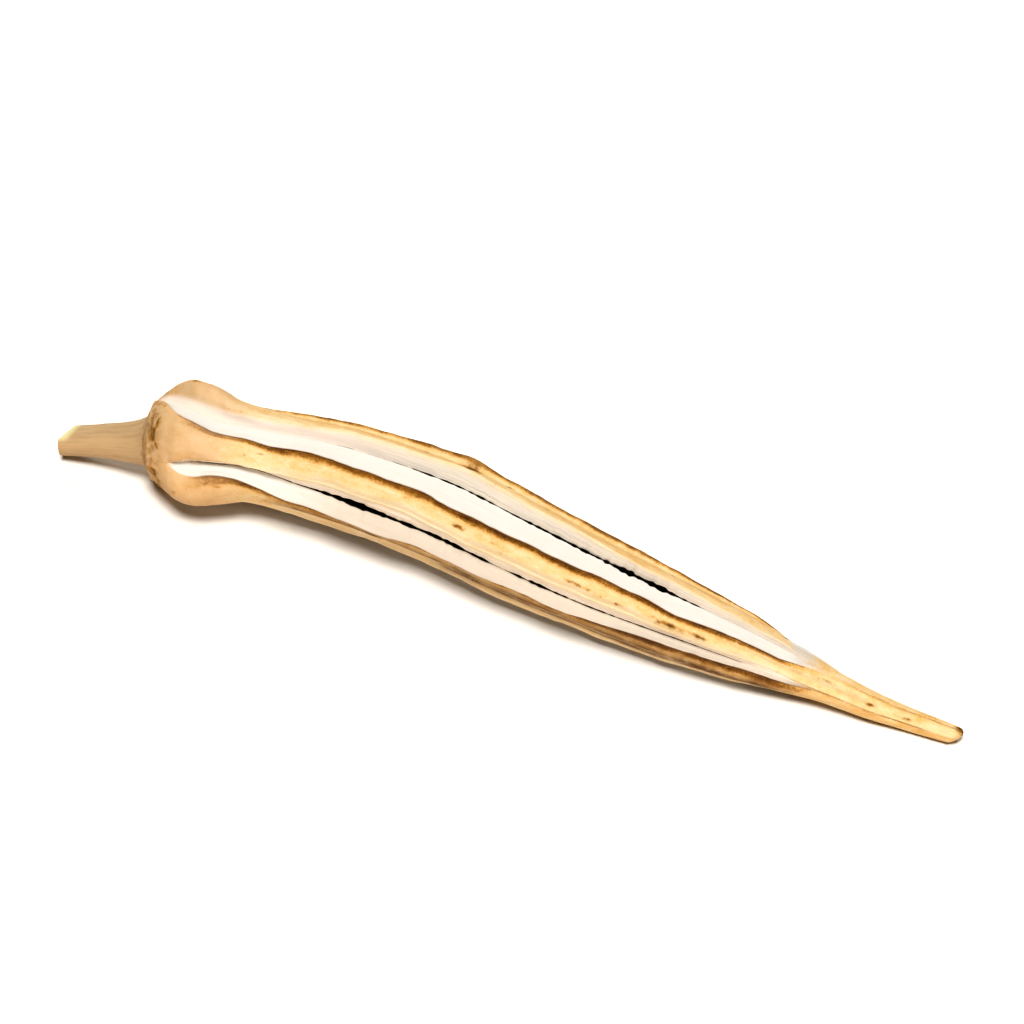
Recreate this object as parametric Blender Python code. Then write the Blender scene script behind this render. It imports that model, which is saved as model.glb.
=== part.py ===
"""A dried okra pod, split open along its ridges, lying on a flat surface.

The pod grew as one piece, so it is one solid: a cut stalk that flares into a lobed shoulder,
five valves that run the whole length and join in a solid beak, and between the valves five
grooves, where each ridge has split. The grooves open through narrow slits into the hollow inside.

The pod lies along +X, with the stalk at -X and the beak at +X, and +Z is up. An angle round the
pod is counted from the side that faces -Y, through the top at 90 degrees.
"""

import bmesh
import bpy
import numpy as np

MM = 0.001
WELD = 0.0005 * MM

# Driving dimensions, in millimetres and degrees.
STALK_END = -101.2
POD_BASE = -83.0
BEAK_END = 93.6
VALVES = 5

# (x, y, z) of the middle line: the stalk droops, the body bows a little, the beak sinks to the surface.
SPINE = [
    (-101.8, -10.8, 3.8), (-92.0, -8.7, 6.0), (-85.0, -7.3, 7.7), (-81.0, -6.4, 9.4), (-78.0, -5.8, 10.4),
    (-72.0, -5.2, 11.2), (-66.0, -4.4, 11.4), (-59.0, -2.9, 12.1), (-38.0, 0.5, 12.2), (-18.0, 1.3, 11.7),
    (0.0, 0.0, 10.8), (16.0, -0.7, 9.6), (32.0, -0.9, 8.5), (48.0, -0.5, 7.2), (59.0, 0.1, 5.6),
    (67.0, 0.3, 4.5), (75.0, 0.6, 3.4), (83.0, 1.3, 2.6), (93.6, 2.1, 2.1),
]
SHOULDER_X = -66.0
# (x, run over rise) of how far the rings at the stalk and the shoulder lean, their near side towards the beak.
SHOULDER_SLANT = [(-78.0, 0.17), (-60.0, 0.0)]
# (x, radius) of the stalk and of the valves' split edges.
EDGE_RADIUS = [
    (-100.8, 3.35), (-95.0, 3.4), (-90.0, 3.75), (-86.0, 4.3), (-84.0, 4.7), (-82.6, 5.2), (-81.8, 6.6),
    (-80.6, 8.1), (-79.2, 9.1), (-76.2, 10.1), (-72.0, 10.6), (-66.0, 10.4), (-59.0, 10.0), (-50.0, 10.4),
    (-38.0, 11.1), (-18.0, 11.5), (0.0, 11.0), (16.0, 10.1), (32.0, 8.9), (48.0, 7.0), (54.0, 5.8),
    (60.0, 4.7), (67.0, 3.5), (75.0, 2.85), (83.0, 2.3), (90.0, 1.95), (93.6, 1.7),
]
# (x, depth) of each valve's middle below its edges: it bulges at the shoulder and is a channel beyond.
CHANNEL_DEPTH = [
    (-100.8, 0.0), (-82.0, 0.0), (-78.0, -1.1), (-73.0, -2.4), (-70.0, -2.4), (-65.0, -1.1), (-60.0, 0.2),
    (-52.0, 1.0), (-38.0, 1.5), (-18.0, 1.75), (16.0, 1.6), (48.0, 0.8), (60.0, 0.25), (70.0, 0.1),
    (92.8, 0.05),
]
# (x, power) of how late the channel turns up towards its edges.
CHANNEL_TURN = [(-72.0, 2.0), (-46.0, 5.0)]
# (x, share of the radius) of the grooves' depth, down to the beak's creases.
GROOVE_DEPTH = [
    (-74.0, 0.17), (-59.0, 0.2), (-38.0, 0.22), (32.0, 0.21), (48.0, 0.17), (58.0, 0.09), (67.0, 0.05),
]
# (x, share) of the grooves' full width: they close into creases on the beak.
GROOVE_WIDTH = [(56.0, 1.0), (60.0, 0.75), (66.0, 0.35), (92.8, 0.3)]
# Each groove: (x, angle) of its slit, (x, degrees) from there up to one edge and down to the other, where it
# starts and how soon it is fully open, the slit's ends and the slit's widest gap.
GROOVES = [
    {
        "line": [
            (-80.0, 20.0), (-75.0, 21.0), (-70.0, 27.0), (-64.0, 30.5), (-57.0, 29.0), (-46.0, 20.0),
            (-20.0, 16.0), (16.0, 17.0), (40.0, 23.0), (92.8, 25.0),
        ],
        "up": [
            (-74.0, 4.0), (-60.0, 5.0), (-50.0, 11.0), (-42.0, 16.0), (-20.0, 19.0), (20.0, 17.0),
            (48.0, 12.0),
        ],
        "down": [
            (-76.0, 5.0), (-70.0, 17.5), (-65.0, 13.5), (-61.0, 16.0), (-57.0, 18.5), (-45.0, 19.5),
            (-18.0, 17.0), (16.0, 11.0), (48.0, 9.0),
        ],
        "start": (-75.3, 7.0), "slit": (-73.0, 51.0), "gap": 0.9,
    },
    {
        "line": [
            (-80.0, 121.0), (-78.0, 114.0), (-74.0, 101.5), (-71.0, 96.0), (-66.0, 91.5), (-38.0, 90.0),
            (10.0, 91.5), (60.0, 90.0),
        ],
        "up": [
            (-78.0, 19.0), (-67.0, 20.0), (-64.0, 17.0), (-58.0, 12.5), (-20.0, 19.0), (16.0, 14.0),
            (48.0, 8.0),
        ],
        "down": [
            (-78.0, 16.0), (-74.0, 22.0), (-70.0, 23.0), (-58.0, 25.0), (-18.0, 31.5), (32.0, 31.5),
            (48.0, 29.0),
        ],
        "start": (-80.6, 5.0), "slit": (-46.0, 38.0), "gap": 0.8,
    },
    {
        "line": [(-80.0, 167.0), (-58.0, 163.0), (16.0, 165.0), (60.0, 162.0)],
        "up": [(-74.0, 10.0), (-50.0, 17.0), (16.0, 15.0), (56.0, 9.0)],
        "down": [(-74.0, 12.0), (-50.0, 19.0), (32.0, 20.0), (56.0, 14.0)],
        "start": (-79.0, 9.0), "slit": (-58.0, 45.0), "gap": 0.7,
    },
    {
        "line": [(-80.0, 237.0), (-40.0, 234.0), (30.0, 236.0), (60.0, 235.0)],
        "up": [(-74.0, 10.0), (-52.0, 15.0), (20.0, 16.0), (56.0, 9.0)],
        "down": [(-74.0, 11.0), (-52.0, 18.0), (10.0, 19.0), (56.0, 11.0)],
        "start": (-79.5, 9.0), "slit": (-66.0, 40.0), "gap": 0.8,
    },
    {
        "line": [(-80.0, 309.0), (-30.0, 307.0), (60.0, 308.0)],
        "up": [(-74.0, 10.0), (-56.0, 14.0), (0.0, 16.0), (56.0, 9.0)],
        "down": [(-74.0, 12.0), (-56.0, 17.0), (30.0, 16.0), (56.0, 10.0)],
        "start": (-78.5, 9.0), "slit": (-52.0, 46.0), "gap": 0.6,
    },
]
# How much of the shoulder's bulge each valve has, beginning with the one above the first groove.
BULGES = (0.55, 1.0, 0.9, 0.45, 1.0)
GROOVE_START_WIDTH = 0.3
SLIT_END_SHARE = 0.25
WALL = 1.2
LIP_WALL = 0.9
CAVITY = (-77.0, 56.0)
CAVITY_END_LENGTH = 9.0
CAVITY_END_RADIUS = 0.8

# The knot on the upper far edge, and the torn notch near the beak: (x, length, height).
KNOT = (-17.0, 4.0, 0.6)
TORN_NOTCH = (56.5, 1.6, -0.8)
KNOT_GROOVE = 2

# The scar that the fallen sepals left, a low lobed ring where the stalk meets the shoulder.
SCAR_X = -82.2
SCAR_LENGTH = 0.6
SCAR_HEIGHT = 0.35
SCAR_LOBES = 10

# How far the pod's own weight has flattened its lowest places.
SINK = 0.35

# The stalk is cut square below and slanting above a height on the side at that angle.
STALK_CUT_SLOPE = 1.0
STALK_CUT_FROM = 0.3
STALK_CUT_ANGLE = 128.0
STALK_CUT_LENGTH = 9.0
# The beak's slanting end, as run over rise, how far it reaches back and the side where it is longest.
BEAK_END_SLOPE = 0.6
BEAK_END_LENGTH = 7.0
BEAK_END_ANGLE = 135.0

# Slow waves along the edges: (wavelength, share of the radius, degrees).
EDGE_WAVES = [(47.0, 0.010, 1.2), (23.0, 0.008, 0.9), (12.5, 0.005, 0.5)]
WAVE_SEED = 11

WAVE_START = -74.0
WAVE_END = 66.0
WAVE_FADE = 24.0

# How the mesh follows the form.
HALF_VALVE_STEPS = (0.0, 0.5, 0.86, 1.0)
WALL_STEPS = (0.5, 1.0)
INNER_STEPS = (0.5, 1.0)
EDGE_LEAN = 0.12
SHARP_DEGREES = 40.0


def smooth(points, x):
    """The value at x of a smooth curve through (x, value) points, with no overshoot between them."""
    at, value = np.array(points, float).T
    step = np.diff(at)
    slope = np.diff(value) / step
    before, after = slope[:-1], slope[1:]
    same_way = before * after > 0
    tangent = np.concatenate([slope[:1], np.zeros(len(at) - 2), slope[-1:]])
    tangent[1:-1][same_way] = 2 * before[same_way] * after[same_way] / (before + after)[same_way]
    i = np.clip(np.searchsorted(at, x, side="right") - 1, 0, len(at) - 2)
    t = np.clip((x - at[i]) / step[i], 0, 1)
    return (
        value[i] * (1 + 2 * t) * (1 - t) ** 2
        + value[i + 1] * t**2 * (3 - 2 * t)
        + step[i] * (tangent[i] * t * (1 - t) ** 2 - tangent[i + 1] * t**2 * (1 - t))
    )


def rise(x, start, length):
    """0 before start and 1 after start + length, with the blunt, rounded rise of a quarter circle."""
    t = np.clip((x - start) / length, 0, 1)
    return np.sqrt(1 - (1 - t) ** 2)


def hump(x, middle, length):
    return np.exp(-(((x - middle) / length) ** 2))


def spine(x):
    """The middle line at x."""
    y = smooth([(p[0], p[1]) for p in SPINE], x)
    z = smooth([(p[0], p[2]) for p in SPINE], x)
    return np.stack([x, y, z], axis=-1)


def spine_frame(x):
    """The body's direction at x, and the directions at 0 and 90 degrees round it.

    The stalk and the shoulder take theirs from where the body begins, so that the shoulder stands square."""
    x = np.maximum(x, SHOULDER_X)
    ahead = spine(x + 1.5) - spine(x - 1.5)
    ahead /= np.linalg.norm(ahead, axis=-1, keepdims=True)
    side = np.cross(ahead, [0.0, 0.0, 1.0])
    side /= np.linalg.norm(side, axis=-1, keepdims=True)
    return ahead, side, np.cross(side, ahead)


def edge_wave(x, groove, way):
    """(share of the radius, degrees) by which the edge on that side of a groove wanders at x."""
    rng = np.random.default_rng(WAVE_SEED + 2 * groove + (way > 0))
    fade = rise(x, WAVE_START, WAVE_FADE) * rise(-x, -WAVE_END, WAVE_FADE)
    radius, angle = np.zeros_like(x), np.zeros_like(x)
    for wavelength, share, degrees in EDGE_WAVES:
        phase = rng.uniform(0, 2 * np.pi, 2)
        radius += share * np.sin(2 * np.pi * x / wavelength + phase[0])
        angle += degrees * np.sin(2 * np.pi * x / wavelength + phase[1])
    return radius * fade, angle * fade


def slit_angle(x, groove):
    return smooth(GROOVES[groove]["line"], x)


def edge(x, groove, way):
    """(radius, angle) of the split edge above (way 1) or below (way -1) a groove's slit."""
    facts = GROOVES[groove]
    reach = smooth(facts["up"] if way > 0 else facts["down"], x)
    started = rise(x, *facts["start"])
    opening = (GROOVE_START_WIDTH + (1 - GROOVE_START_WIDTH) * started) * smooth(GROOVE_WIDTH, x)
    share, degrees = edge_wave(x, groove, way)
    radius = smooth(EDGE_RADIUS, x) * (1 + share)
    if groove == KNOT_GROOVE and way < 0:
        for middle, length, height in (KNOT, TORN_NOTCH):
            radius = radius + height * hump(x, middle, length)
    return radius, slit_angle(x, groove) + way * reach * opening + degrees * opening


def slit_gap(x, groove):
    """How far a groove's two lips stand apart at x: 0 where the slit is closed."""
    start, end = GROOVES[groove]["slit"]
    t = np.clip((x - start) / (end - start), 0, 1)
    share = SLIT_END_SHARE + (1 - SLIT_END_SHARE) * np.sin(np.pi * t)
    return GROOVES[groove]["gap"] * share * ((t > 0) & (t < 1))


def middle_radius(x, valve):
    depth = smooth(CHANNEL_DEPTH, x)
    return smooth(EDGE_RADIUS, x) - np.where(depth < 0, depth * BULGES[valve], depth)


def lip_radius(x, groove):
    depth = smooth(GROOVE_DEPTH, x) * rise(x, *GROOVES[groove]["start"])
    return smooth(EDGE_RADIUS, x) * (1 - depth)


def cavity_radius(x, outer, wall):
    """The hollow's radius at x under a surface of radius outer, closing to a point at both ends."""
    first, last = CAVITY
    open_share = rise(x, first - 0.01, CAVITY_END_LENGTH) * rise(-x, -last - 0.01, CAVITY_END_LENGTH)
    return CAVITY_END_RADIUS + (outer - wall - CAVITY_END_RADIUS) * open_share


def scar(x, angle):
    return SCAR_HEIGHT * hump(x, SCAR_X, SCAR_LENGTH) * (1 + 0.5 * np.cos(np.radians(SCAR_LOBES * angle)))


def valve_outline(x, valve, steps, wall_steps):
    """(radius, angle) rows of a valve's outside, from its lower lip over both edges to its upper lip.

    The valve lies between groove `valve` below it and the next groove above it."""
    above = (valve + 1) % VALVES
    low_radius, low_angle = edge(x, valve, 1)
    high_radius, high_angle = edge(x, above, -1)
    turn = 360.0 if above < valve else 0.0
    high_angle = high_angle + turn
    middle_angle = (low_angle + high_angle) / 2
    half_angle = (high_angle - low_angle) / 2
    middle = middle_radius(x, valve)
    turn_up = smooth(CHANNEL_TURN, x)
    rows = []
    for way, edge_radius in ((-1, low_radius), (1, high_radius)):
        half = []
        for t in steps:
            lean = EDGE_LEAN * t * np.sin(np.pi * t)
            radius = middle + (edge_radius - middle) * t**turn_up
            half.append((radius, middle_angle + way * half_angle * (t + lean)))
        groove = valve if way < 0 else above
        lip = np.radians(slit_angle(x, groove) + (turn if way > 0 else 0.0))
        aside = -way * slit_gap(x, groove) / 2
        edge_at = np.radians(half[-1][1])
        for t in wall_steps:
            u = (1 - t) * edge_radius * np.cos(edge_at - lip) + t * lip_radius(x, groove)
            v = (1 - t) * edge_radius * np.sin(edge_at - lip) + t * aside
            half.append((np.hypot(u, v), np.degrees(lip + np.arctan2(v, u))))
        rows.append(half)
    outline = rows[0][::-1] + rows[1][1:]
    return [(radius + scar(x, angle), angle) for radius, angle in outline]


def valve_inside(x, valve, steps):
    """(radius, angle) rows of the hollow's wall behind a valve, from its lower lip to its upper lip."""
    above = (valve + 1) % VALVES
    turn = 360.0 if above < valve else 0.0
    low, high = slit_angle(x, valve), slit_angle(x, above) + turn
    behind_middle = cavity_radius(x, np.minimum(middle_radius(x, valve), smooth(EDGE_RADIUS, x)), WALL)
    rows = []
    for way, groove in ((-1, valve), (1, above)):
        behind_lip = cavity_radius(x, lip_radius(x, groove), LIP_WALL)
        aside = np.degrees(slit_gap(x, groove) / 2 / behind_lip)
        half = []
        for t in (0.0, *steps):
            radius = behind_middle + (behind_lip - behind_middle) * t**2
            half.append((radius, (low + high) / 2 + way * t * ((high - low) / 2 - aside)))
        rows.append(half)
    return rows[0][::-1] + rows[1][1:]


def end_shift(x, radius, angle):
    """How far along the pod a point moves for the slanting stalk cut, shoulder and beak end."""
    shoulder = radius * np.cos(np.radians(angle)) * smooth(SHOULDER_SLANT, x)
    above_cut = np.maximum(radius * np.cos(np.radians(angle - STALK_CUT_ANGLE)) - STALK_CUT_FROM, 0)
    stalk = STALK_CUT_SLOPE * above_cut * np.clip(1 - (x - STALK_END) / STALK_CUT_LENGTH, 0, 1)
    height = radius * np.cos(np.radians(angle - BEAK_END_ANGLE))
    beak = BEAK_END_SLOPE * height * np.clip(1 - (BEAK_END - x) / BEAK_END_LENGTH, 0, 1) ** 2
    return shoulder + stalk + beak


def placed(x, rows):
    """The points, in millimetres, of (radius, angle) rows round the middle line: stations by rows by 3."""
    ahead, side, up = spine_frame(x)
    middle = spine(x)
    points = []
    for radius, angle in rows:
        turn = np.radians(angle)
        away = radius[:, None] * (np.cos(turn)[:, None] * side + np.sin(turn)[:, None] * up)
        points.append(middle + away + end_shift(x, radius, angle)[:, None] * ahead)
    return np.stack(points, axis=1)


def stations():
    """The places along the pod where the mesh has a ring: close at the shoulder and wider along the body."""
    stalk = np.linspace(STALK_END, POD_BASE - 0.6, 7)
    scar_ring = np.array([POD_BASE, SCAR_X - 0.3, SCAR_X + 0.2])
    shoulder = np.linspace(-81.5, -68.0, 12)
    body = np.linspace(-65.0, 53.0, 35)
    beak = np.linspace(56.0, BEAK_END, 11)
    return np.concatenate([stalk, scar_ring, shoulder, body, beak])


class Skin:
    """Collects points and faces, and welds the points that lie in one place."""

    def __init__(self):
        self.mesh = bmesh.new()

    def points(self, grid):
        return [[self.mesh.verts.new(p * MM) for p in ring] for ring in grid]

    def strip(self, first, second):
        for a, b, c, d in zip(first[:-1], first[1:], second[1:], second[:-1]):
            self.mesh.faces.new((a, b, c, d))

    def lid(self, ring):
        """Closes a ring of points with a fan about its middle."""
        middle = self.mesh.verts.new(sum((v.co for v in ring), ring[0].co * 0) / len(ring))
        for a, b in zip(ring, ring[1:] + ring[:1]):
            if (a.co - b.co).length > WELD:
                self.mesh.faces.new((a, b, middle))

    def finished(self, name):
        bmesh.ops.remove_doubles(self.mesh, verts=self.mesh.verts, dist=WELD)
        bmesh.ops.recalc_face_normals(self.mesh, faces=self.mesh.faces)
        mesh = bpy.data.meshes.new(name)
        self.mesh.to_mesh(mesh)
        self.mesh.free()
        return mesh


def settle_on_surface(mesh):
    """Puts the middle of the pod's box over the origin, and flattens what the surface has pressed flat."""
    points = np.array([v.co for v in mesh.vertices])
    low, high = points.min(axis=0), points.max(axis=0)
    for vertex in mesh.vertices:
        vertex.co.x -= (low[0] + high[0]) / 2
        vertex.co.y -= (low[1] + high[1]) / 2
        vertex.co.z = max(vertex.co.z - SINK * MM, 0.0)


def pod_mesh():
    x = stations()
    inside = np.flatnonzero((x > CAVITY[0]) & (x < CAVITY[1]))
    skin = Skin()
    outer = []
    for valve in range(VALVES):
        outer.append(skin.points(placed(x, valve_outline(x, valve, HALF_VALVE_STEPS, WALL_STEPS))))
    inner_x = x[inside]
    inner = []
    for valve in range(VALVES):
        inner.append(skin.points(placed(inner_x, valve_inside(inner_x, valve, INNER_STEPS))))
    for rings in outer:
        for first, second in zip(rings[:-1], rings[1:]):
            skin.strip(first, second)
    for rings in inner:
        for first, second in zip(rings[:-1], rings[1:]):
            skin.strip(second, first)
    for groove in range(VALVES):
        gap = slit_gap(inner_x, groove)
        for i in np.flatnonzero((gap[:-1] > 0) | (gap[1:] > 0)):
            for valve, lip in ((groove - 1, -1), (groove, 0)):
                shell = [outer[valve][inside[i] + step][lip] for step in (0, 1)]
                hollow = [inner[valve][i + step][lip] for step in (0, 1)]
                skin.strip(shell, hollow)
    skin.lid([v for rings in outer for v in rings[0]])
    skin.lid([v for rings in outer for v in rings[-1]])
    skin.lid([v for rings in inner for v in rings[0]])
    skin.lid([v for rings in inner for v in rings[-1]])
    return skin.finished("okra_pod")


def dry_husk():
    material = bpy.data.materials.new("dry_husk")
    material.use_nodes = True
    shader = material.node_tree.nodes["Principled BSDF"]
    shader.inputs["Base Color"].default_value = (0.72, 0.47, 0.22, 1.0)
    shader.inputs["Roughness"].default_value = 0.62
    shader.inputs["Metallic"].default_value = 0.0
    return material


def main():
    for obj in list(bpy.data.objects):
        bpy.data.objects.remove(obj, do_unlink=True)
    mesh = pod_mesh()
    settle_on_surface(mesh)
    mesh.materials.append(dry_husk())
    pod = bpy.data.objects.new("okra_pod", mesh)
    bpy.context.scene.collection.objects.link(pod)
    mesh.shade_smooth()
    mesh.set_sharp_from_angle(angle=np.radians(SHARP_DEGREES))


main()
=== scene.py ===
"""A dry okra pod, split open along its ridges, lying on a plain pale surface.

The pod is one mesh. It is a stack of rings round a middle line, and each ring runs over five valves,
from the slit in one groove to the slit in the next. Lengths are in millimetres and angles in degrees
until a point goes into the mesh. An angle round the pod is counted from the side that faces -Y, through
the top at 90 degrees.
"""

import bpy
import numpy as np
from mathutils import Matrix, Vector


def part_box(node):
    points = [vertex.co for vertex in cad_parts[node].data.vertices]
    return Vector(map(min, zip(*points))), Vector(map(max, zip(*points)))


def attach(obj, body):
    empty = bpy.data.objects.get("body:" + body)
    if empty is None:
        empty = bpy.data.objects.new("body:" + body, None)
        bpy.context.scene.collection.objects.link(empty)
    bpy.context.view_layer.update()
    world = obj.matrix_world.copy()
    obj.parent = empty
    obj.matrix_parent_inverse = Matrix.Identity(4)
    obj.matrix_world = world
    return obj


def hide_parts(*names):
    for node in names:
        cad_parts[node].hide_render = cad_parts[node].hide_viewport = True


MM = 0.001
NODE = "okra_pod"
VALVES = 5

# Ends of the pod, and (x, y, z) of its middle line.
STALK_END = -101.2
BEAK_END = 93.6
SPINE = [
    (-101.8, -10.8, 3.8), (-92.0, -8.7, 6.0), (-85.0, -7.3, 7.7), (-81.0, -6.4, 9.4), (-78.0, -5.8, 10.4),
    (-72.0, -5.2, 11.2), (-66.0, -4.4, 11.4), (-59.0, -2.9, 12.1), (-38.0, 0.5, 12.2), (-18.0, 1.3, 11.7),
    (0.0, 0.0, 10.8), (16.0, -0.7, 9.6), (32.0, -0.9, 8.5), (48.0, -0.5, 7.2), (59.0, 0.1, 5.6),
    (67.0, 0.3, 4.5), (75.0, 0.6, 3.4), (83.0, 1.3, 2.6), (93.6, 2.1, 2.1),
]
SHOULDER_X = -66.0
SHOULDER_SLANT = [(-78.0, 0.17), (-60.0, 0.0)]
SINK = 0.35

# (x, radius) of the stalk and of the valves' split edges, and (x, depth) of the valves' middles below them.
EDGE_RADIUS = [
    (-100.8, 3.35), (-95.0, 3.4), (-90.0, 3.75), (-86.0, 4.3), (-84.0, 4.7), (-82.6, 5.2), (-81.8, 6.6),
    (-80.6, 8.1), (-79.2, 9.1), (-76.2, 10.1), (-72.0, 10.6), (-66.0, 10.4), (-59.0, 10.0), (-50.0, 10.4),
    (-38.0, 11.1), (-18.0, 11.5), (0.0, 11.0), (16.0, 10.1), (32.0, 8.9), (48.0, 7.0), (54.0, 5.8),
    (60.0, 4.7), (67.0, 3.5), (75.0, 2.85), (83.0, 2.3), (90.0, 1.95), (93.6, 1.7),
]
CHANNEL_DEPTH = [
    (-100.8, 0.0), (-82.0, 0.0), (-78.0, -1.1), (-73.0, -2.4), (-70.0, -2.4), (-65.0, -1.1), (-60.0, 0.2),
    (-52.0, 1.0), (-38.0, 1.5), (-18.0, 1.75), (16.0, 1.6), (48.0, 0.8), (60.0, 0.25), (70.0, 0.1),
    (92.8, 0.05),
]
CHANNEL_TURN = [(-72.0, 2.0), (-46.0, 5.0)]
BULGES = (0.55, 1.0, 0.9, 0.45, 1.0)

# For each valve, how dark its skin is, how dark brown stain and painted shade make its upper half, and how
# far up from its middle that starts, 1 being its edge. On the shoulder it all starts at one place.
BASE_SHADES = (0.29, 0.36, 0.36, 0.36, 0.33)
STAINS_AND_SHADE = (0.92, 0.5, 0.8, 0.9, 1.0)
STAIN_AND_SHADE_STARTS = (0.14, 0.84, 0.35, 0.35, 0.0)
SHOULDER_STAIN_AND_SHADE_START = 0.5
SHOULDER_STAIN_AND_SHADE_FADE = (-64.0, -48.0)
STAIN_AND_SHADE_REACH = 0.5
# How the stain and painted shade begin, in mm past their groove's start, where they fade at the beak, and
# how much they fade.
STAIN_AND_SHADE_BEGIN = (0.5, 14.0)
STAIN_AND_SHADE_FADE = (54.0, 66.0)
STAIN_AND_SHADE_FADED = 0.85
# How much of the stain and painted shade is its broad band and how much is the dark line along the edge,
# from that share up.
STAIN_AND_SHADE_BAND = 0.58
STAIN_AND_SHADE_LINE = 0.4
STAIN_AND_SHADE_LINE_START = 0.88
# How much paler the skin gets towards a valve's lower edge, from that share down: painted light, on the
# side of the channel that turns up to the lamps.
PALE_EDGE = 0.20
PALE_EDGE_START = 0.2

# (x, share of the radius) of the grooves' depth, and (x, share) of their full width.
GROOVE_DEPTH = [
    (-74.0, 0.17), (-59.0, 0.2), (-38.0, 0.22), (32.0, 0.21), (48.0, 0.17), (58.0, 0.09), (67.0, 0.05),
]
GROOVE_WIDTH = [(56.0, 1.0), (60.0, 0.75), (66.0, 0.35), (92.8, 0.3)]
GROOVE_START_WIDTH = 0.3
# The groove that leaves no crease on the beak, and where it fades.
SMOOTH_GROOVE = 1
SMOOTH_FROM = (58.0, 68.0)
# Each groove: (x, angle) of its slit, (x, degrees) from there up to one edge and down to the other, where it
# starts, and (x, gap) of its slit.
GROOVES = [
    {
        "line": [
            (-80.0, 20.0), (-75.0, 21.0), (-70.0, 27.0), (-64.0, 30.5), (-57.0, 29.0), (-46.0, 20.0),
            (-20.0, 16.0), (16.0, 17.0), (40.0, 23.0), (92.8, 25.0),
        ],
        "up": [
            (-74.0, 4.0), (-60.0, 5.0), (-50.0, 11.0), (-42.0, 16.0), (-20.0, 19.0), (20.0, 17.0),
            (48.0, 12.0),
        ],
        "down": [
            (-76.0, 5.0), (-70.0, 17.5), (-65.0, 13.5), (-61.0, 16.0), (-57.0, 18.5), (-45.0, 19.5),
            (-18.0, 17.0), (16.0, 11.0), (48.0, 9.0),
        ],
        "start": (-75.3, 7.0),
        "gap": [
            (-73.0, 0.0), (-71.0, 0.1), (-52.0, 0.14), (-46.0, 0.35), (-40.0, 0.7), (-33.0, 1.25),
            (-24.0, 0.9), (-12.0, 0.75), (-4.0, 0.6), (-1.5, 0.12), (1.0, 0.15), (3.0, 0.6), (9.0, 0.6),
            (14.0, 0.3), (30.0, 0.2), (49.0, 0.12), (51.0, 0.0),
        ],
    },
    {
        "line": [
            (-80.0, 121.0), (-78.0, 114.0), (-74.0, 101.5), (-71.0, 96.0), (-66.0, 91.5), (-38.0, 90.0),
            (10.0, 91.5), (60.0, 90.0),
        ],
        "up": [
            (-78.0, 19.0), (-67.0, 20.0), (-64.0, 17.0), (-58.0, 12.5), (-20.0, 19.0), (16.0, 14.0),
            (48.0, 8.0),
        ],
        "down": [
            (-78.0, 16.0), (-74.0, 22.0), (-70.0, 23.0), (-58.0, 25.0), (-18.0, 31.5), (32.0, 31.5),
            (48.0, 29.0),
        ],
        "start": (-80.6, 5.0),
        "gap": [
            (-46.0, 0.0), (-44.0, 0.07), (-26.0, 0.08), (-25.0, 0.3), (-21.0, 0.3), (-20.0, 0.1),
            (-18.6, 0.35), (-5.0, 0.45), (10.0, 0.6), (22.0, 0.95), (30.0, 0.9), (34.0, 0.5), (38.0, 0.25),
            (40.0, 0.0),
        ],
    },
    {
        "line": [(-80.0, 167.0), (-58.0, 163.0), (16.0, 165.0), (60.0, 162.0)],
        "up": [(-74.0, 10.0), (-50.0, 17.0), (16.0, 15.0), (56.0, 9.0)],
        "down": [(-74.0, 12.0), (-50.0, 19.0), (32.0, 20.0), (56.0, 14.0)],
        "start": (-79.0, 9.0),
        "gap": [(-58.0, 0.0), (-50.0, 0.2), (-20.0, 0.6), (5.0, 0.3), (24.0, 0.7), (45.0, 0.0)],
    },
    {
        "line": [(-80.0, 237.0), (-40.0, 234.0), (30.0, 236.0), (60.0, 235.0)],
        "up": [(-74.0, 10.0), (-52.0, 15.0), (20.0, 16.0), (56.0, 9.0)],
        "down": [(-74.0, 11.0), (-52.0, 18.0), (10.0, 19.0), (56.0, 11.0)],
        "start": (-79.5, 9.0),
        "gap": [(-66.0, 0.0), (-55.0, 0.15), (-36.0, 0.8), (-8.0, 0.4), (16.0, 0.6), (40.0, 0.0)],
    },
    {
        "line": [(-80.0, 309.0), (-30.0, 307.0), (60.0, 308.0)],
        "up": [(-74.0, 10.0), (-56.0, 14.0), (0.0, 16.0), (56.0, 9.0)],
        "down": [(-74.0, 12.0), (-56.0, 17.0), (30.0, 16.0), (56.0, 10.0)],
        "start": (-78.5, 9.0),
        "gap": [(-52.0, 0.0), (-40.0, 0.4), (-15.0, 0.5), (10.0, 0.25), (30.0, 0.5), (46.0, 0.0)],
    },
]
# How thick the walls are, and the hollow: where it ends, and how it closes there.
WALL = 1.2
LIP_WALL = 0.9
CAVITY = (-77.0, 56.0)
CAVITY_END_LENGTH = 9.0
CAVITY_END_RADIUS = 0.8
# A slit narrower than OPEN_GAP is closed. Its width wavers by (share, length). It is painted black, as
# shadow, from DARK_LIP in.
OPEN_GAP = 0.06
GAP_WAVERS = [(0.65, 0.9), (0.3, 3.1)]
DARK_LIP = 0.12

# The split faces are rounded over until this far from where their slit opens.
FACE_SQUARE = (-10.0, 4.0)
# How far a valve's rows lean out to its lower (-1) and upper (1) edge, and where that begins and ends.
EDGE_LEANS = {-1: 0.12, 1: 0.42}
LEAN_BEGIN = (-70.0, -50.0)
LEAN_END = (50.0, 64.0)
# How soon skin turns into split face over a valve's lower (-1) and upper (1) edge.
FACE_CHANGE = {-1: 0.5, 1: 0.07}
# Where split faces begin, in mm past their groove's start, and where they fade at the beak.
SPLIT_BEGIN = (-0.3, 1.2)
SPLIT_FADE = (57.0, 68.0)

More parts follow.
